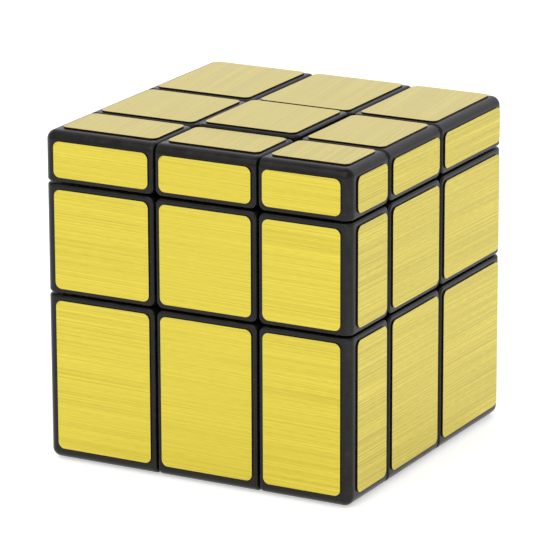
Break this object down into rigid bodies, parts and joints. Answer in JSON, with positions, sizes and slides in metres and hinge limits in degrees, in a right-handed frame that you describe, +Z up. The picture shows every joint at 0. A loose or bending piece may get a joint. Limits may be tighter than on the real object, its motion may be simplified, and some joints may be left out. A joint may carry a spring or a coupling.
{
  "type": "mirror block puzzle cube",
  "caption": "Twisty puzzle cube in black plastic with brushed gold foils, its layers of unequal thickness turning about an off-centre spider core.",
  "frame": {"origin": "middle of the cube's underside, on the plane that the cube rests on", "axes": "+X to the right, +Y to the back, +Z up; the thin layer is on top and the thinnest upright layer is at the front"},
  "size_m": [0.057, 0.057, 0.0574],
  "materials": {
    "black_plastic": "satin moulded black plastic",
    "gold_foil": "brushed gold metallised film",
    "white_nylon": "plain moulded white plastic",
    "steel": "zinc-plated steel"
  },
  "bodies": {
    "core_group": {"core": "white_nylon", "screws_springs_and_washers": "steel"},
    "bottom_centre_cubie": {"bottom_centre_base": "black_plastic", "bottom_centre_cap": "black_plastic", "bottom_centre_foil": "gold_foil"},
    "front_centre_cubie": {"front_centre_base": "black_plastic", "front_centre_cap": "black_plastic", "front_centre_foil": "gold_foil"},
    "left_centre_cubie": {"left_centre_base": "black_plastic", "left_centre_cap": "black_plastic", "left_centre_foil": "gold_foil"},
    "right_centre_cubie": {"right_centre_base": "black_plastic", "right_centre_cap": "black_plastic", "right_centre_foil": "gold_foil"},
    "back_centre_cubie": {"back_centre_base": "black_plastic", "back_centre_cap": "black_plastic", "back_centre_foil": "gold_foil"},
    "top_centre_cubie": {"top_centre_base": "black_plastic", "top_centre_cap": "black_plastic", "top_centre_foil": "gold_foil"},
    "bottom_front_edge_cubie": {"bottom_front_edge": "black_plastic", "bottom_front_edge_foils": "gold_foil"},
    "bottom_left_edge_cubie": {"bottom_left_edge": "black_plastic", "bottom_left_edge_foils": "gold_foil"},
    "bottom_right_edge_cubie": {"bottom_right_edge": "black_plastic", "bottom_right_edge_foils": "gold_foil"},
    "bottom_back_edge_cubie": {"bottom_back_edge": "black_plastic", "bottom_back_edge_foils": "gold_foil"},
    "front_left_edge_cubie": {"front_left_edge": "black_plastic", "front_left_edge_foils": "gold_foil"},
    "front_right_edge_cubie": {"front_right_edge": "black_plastic", "front_right_edge_foils": "gold_foil"},
    "back_left_edge_cubie": {"back_left_edge": "black_plastic", "back_left_edge_foils": "gold_foil"},
    "back_right_edge_cubie": {"back_right_edge": "black_plastic", "back_right_edge_foils": "gold_foil"},
    "top_front_edge_cubie": {"top_front_edge": "black_plastic", "top_front_edge_foils": "gold_foil"},
    "top_left_edge_cubie": {"top_left_edge": "black_plastic", "top_left_edge_foils": "gold_foil"},
    "top_right_edge_cubie": {"top_right_edge": "black_plastic", "top_right_edge_foils": "gold_foil"},
    "top_back_edge_cubie": {"top_back_edge": "black_plastic", "top_back_edge_foils": "gold_foil"},
    "bottom_front_left_corner_cubie": {"bottom_front_left_corner": "black_plastic", "bottom_front_left_corner_foils": "gold_foil"},
    "bottom_front_right_corner_cubie": {"bottom_front_right_corner": "black_plastic", "bottom_front_right_corner_foils": "gold_foil"},
    "bottom_back_left_corner_cubie": {"bottom_back_left_corner": "black_plastic", "bottom_back_left_corner_foils": "gold_foil"},
    "bottom_back_right_corner_cubie": {"bottom_back_right_corner": "black_plastic", "bottom_back_right_corner_foils": "gold_foil"},
    "top_front_left_corner_cubie": {"top_front_left_corner": "black_plastic", "top_front_left_corner_foils": "gold_foil"},
    "top_front_right_corner_cubie": {"top_front_right_corner": "black_plastic", "top_front_right_corner_foils": "gold_foil"},
    "top_back_left_corner_cubie": {"top_back_left_corner": "black_plastic", "top_back_left_corner_foils": "gold_foil"},
    "top_back_right_corner_cubie": {"top_back_right_corner": "black_plastic", "top_back_right_corner_foils": "gold_foil"}
  },
  "joints": [
    {"name": "bottom_turn", "type": "hinge", "parent": "core_group", "child": "bottom_centre_cubie", "pos_m": [0.002, -0.005, 0.0385], "axis": [0, 0, -1], "continuous": true},
    {"name": "front_turn", "type": "hinge", "parent": "core_group", "child": "front_centre_cubie", "pos_m": [0.002, -0.005, 0.0385], "axis": [0, -1, 0], "continuous": true},
    {"name": "left_turn", "type": "hinge", "parent": "core_group", "child": "left_centre_cubie", "pos_m": [0.002, -0.005, 0.0385], "axis": [-1, 0, 0], "continuous": true},
    {"name": "right_turn", "type": "hinge", "parent": "core_group", "child": "right_centre_cubie", "pos_m": [0.002, -0.005, 0.0385], "axis": [1, 0, 0], "continuous": true},
    {"name": "back_turn", "type": "hinge", "parent": "core_group", "child": "back_centre_cubie", "pos_m": [0.002, -0.005, 0.0385], "axis": [0, 1, 0], "continuous": true},
    {"name": "top_turn", "type": "hinge", "parent": "core_group", "child": "top_centre_cubie", "pos_m": [0.002, -0.005, 0.0385], "axis": [0, 0, 1], "continuous": true},
    {"name": "bottom_front_edge_turn", "type": "hinge", "parent": "bottom_centre_cubie", "child": "bottom_front_edge_cubie", "pos_m": [0.002, -0.005, 0.0385], "axis": [0, -1, 0], "continuous": true},
    {"name": "bottom_left_edge_turn", "type": "hinge", "parent": "left_centre_cubie", "child": "bottom_left_edge_cubie", "pos_m": [0.002, -0.005, 0.0385], "axis": [0, 0, -1], "continuous": true},
    {"name": "bottom_right_edge_turn", "type": "hinge", "parent": "right_centre_cubie", "child": "bottom_right_edge_cubie", "pos_m": [0.002, -0.005, 0.0385], "axis": [0, 0, -1], "continuous": true},
    {"name": "bottom_back_edge_turn", "type": "hinge", "parent": "bottom_centre_cubie", "child": "bottom_back_edge_cubie", "pos_m": [0.002, -0.005, 0.0385], "axis": [0, 1, 0], "continuous": true},
    {"name": "front_left_edge_turn", "type": "hinge", "parent": "front_centre_cubie", "child": "front_left_edge_cubie", "pos_m": [0.002, -0.005, 0.0385], "axis": [-1, 0, 0], "continuous": true},
    {"name": "front_right_edge_turn", "type": "hinge", "parent": "front_centre_cubie", "child": "front_right_edge_cubie", "pos_m": [0.002, -0.005, 0.0385], "axis": [1, 0, 0], "continuous": true},
    {"name": "back_left_edge_turn", "type": "hinge", "parent": "back_centre_cubie", "child": "back_left_edge_cubie", "pos_m": [0.002, -0.005, 0.0385], "axis": [-1, 0, 0], "continuous": true},
    {"name": "back_right_edge_turn", "type": "hinge", "parent": "back_centre_cubie", "child": "back_right_edge_cubie", "pos_m": [0.002, -0.005, 0.0385], "axis": [1, 0, 0], "continuous": true},
    {"name": "top_front_edge_turn", "type": "hinge", "parent": "top_centre_cubie", "child": "top_front_edge_cubie", "pos_m": [0.002, -0.005, 0.0385], "axis": [0, -1, 0], "continuous": true},
    {"name": "top_left_edge_turn", "type": "hinge", "parent": "left_centre_cubie", "child": "top_left_edge_cubie", "pos_m": [0.002, -0.005, 0.0385], "axis": [0, 0, 1], "continuous": true},
    {"name": "top_right_edge_turn", "type": "hinge", "parent": "right_centre_cubie", "child": "top_right_edge_cubie", "pos_m": [0.002, -0.005, 0.0385], "axis": [0, 0, 1], "continuous": true},
    {"name": "top_back_edge_turn", "type": "hinge", "parent": "top_centre_cubie", "child": "top_back_edge_cubie", "pos_m": [0.002, -0.005, 0.0385], "axis": [0, 1, 0], "continuous": true},
    {"name": "bottom_front_left_corner_turn", "type": "hinge", "parent": "bottom_front_edge_cubie", "child": "bottom_front_left_corner_cubie", "pos_m": [0.002, -0.005, 0.0385], "axis": [-1, 0, 0], "continuous": true},
    {"name": "bottom_front_right_corner_turn", "type": "hinge", "parent": "bottom_front_edge_cubie", "child": "bottom_front_right_corner_cubie", "pos_m": [0.002, -0.005, 0.0385], "axis": [1, 0, 0], "continuous": true},
    {"name": "bottom_back_left_corner_turn", "type": "hinge", "parent": "bottom_back_edge_cubie", "child": "bottom_back_left_corner_cubie", "pos_m": [0.002, -0.005, 0.0385], "axis": [-1, 0, 0], "continuous": true},
    {"name": "bottom_back_right_corner_turn", "type": "hinge", "parent": "bottom_back_edge_cubie", "child": "bottom_back_right_corner_cubie", "pos_m": [0.002, -0.005, 0.0385], "axis": [1, 0, 0], "continuous": true},
    {"name": "top_front_left_corner_turn", "type": "hinge", "parent": "top_front_edge_cubie", "child": "top_front_left_corner_cubie", "pos_m": [0.002, -0.005, 0.0385], "axis": [-1, 0, 0], "continuous": true},
    {"name": "top_front_right_corner_turn", "type": "hinge", "parent": "top_front_edge_cubie", "child": "top_front_right_corner_cubie", "pos_m": [0.002, -0.005, 0.0385], "axis": [1, 0, 0], "continuous": true},
    {"name": "top_back_left_corner_turn", "type": "hinge", "parent": "top_back_edge_cubie", "child": "top_back_left_corner_cubie", "pos_m": [0.002, -0.005, 0.0385], "axis": [-1, 0, 0], "continuous": true},
    {"name": "top_back_right_corner_turn", "type": "hinge", "parent": "top_back_edge_cubie", "child": "top_back_right_corner_cubie", "pos_m": [0.002, -0.005, 0.0385], "axis": [1, 0, 0], "continuous": true}
  ],
  "couplings": [
    {"joint": "bottom_front_edge_turn", "follows": "front_turn", "ratio": 1},
    {"joint": "bottom_left_edge_turn", "follows": "bottom_turn", "ratio": 1},
    {"joint": "bottom_right_edge_turn", "follows": "bottom_turn", "ratio": 1},
    {"joint": "bottom_back_edge_turn", "follows": "back_turn", "ratio": 1},
    {"joint": "front_left_edge_turn", "follows": "left_turn", "ratio": 1},
    {"joint": "front_right_edge_turn", "follows": "right_turn", "ratio": 1},
    {"joint": "back_left_edge_turn", "follows": "left_turn", "ratio": 1},
    {"joint": "back_right_edge_turn", "follows": "right_turn", "ratio": 1},
    {"joint": "top_front_edge_turn", "follows": "front_turn", "ratio": 1},
    {"joint": "top_left_edge_turn", "follows": "top_turn", "ratio": 1},
    {"joint": "top_right_edge_turn", "follows": "top_turn", "ratio": 1},
    {"joint": "top_back_edge_turn", "follows": "back_turn", "ratio": 1},
    {"joint": "bottom_front_left_corner_turn", "follows": "left_turn", "ratio": 1},
    {"joint": "bottom_front_right_corner_turn", "follows": "right_turn", "ratio": 1},
    {"joint": "bottom_back_left_corner_turn", "follows": "left_turn", "ratio": 1},
    {"joint": "bottom_back_right_corner_turn", "follows": "right_turn", "ratio": 1},
    {"joint": "top_front_left_corner_turn", "follows": "left_turn", "ratio": 1},
    {"joint": "top_front_right_corner_turn", "follows": "right_turn", "ratio": 1},
    {"joint": "top_back_left_corner_turn", "follows": "left_turn", "ratio": 1},
    {"joint": "top_back_right_corner_turn", "follows": "right_turn", "ratio": 1}
  ]
}
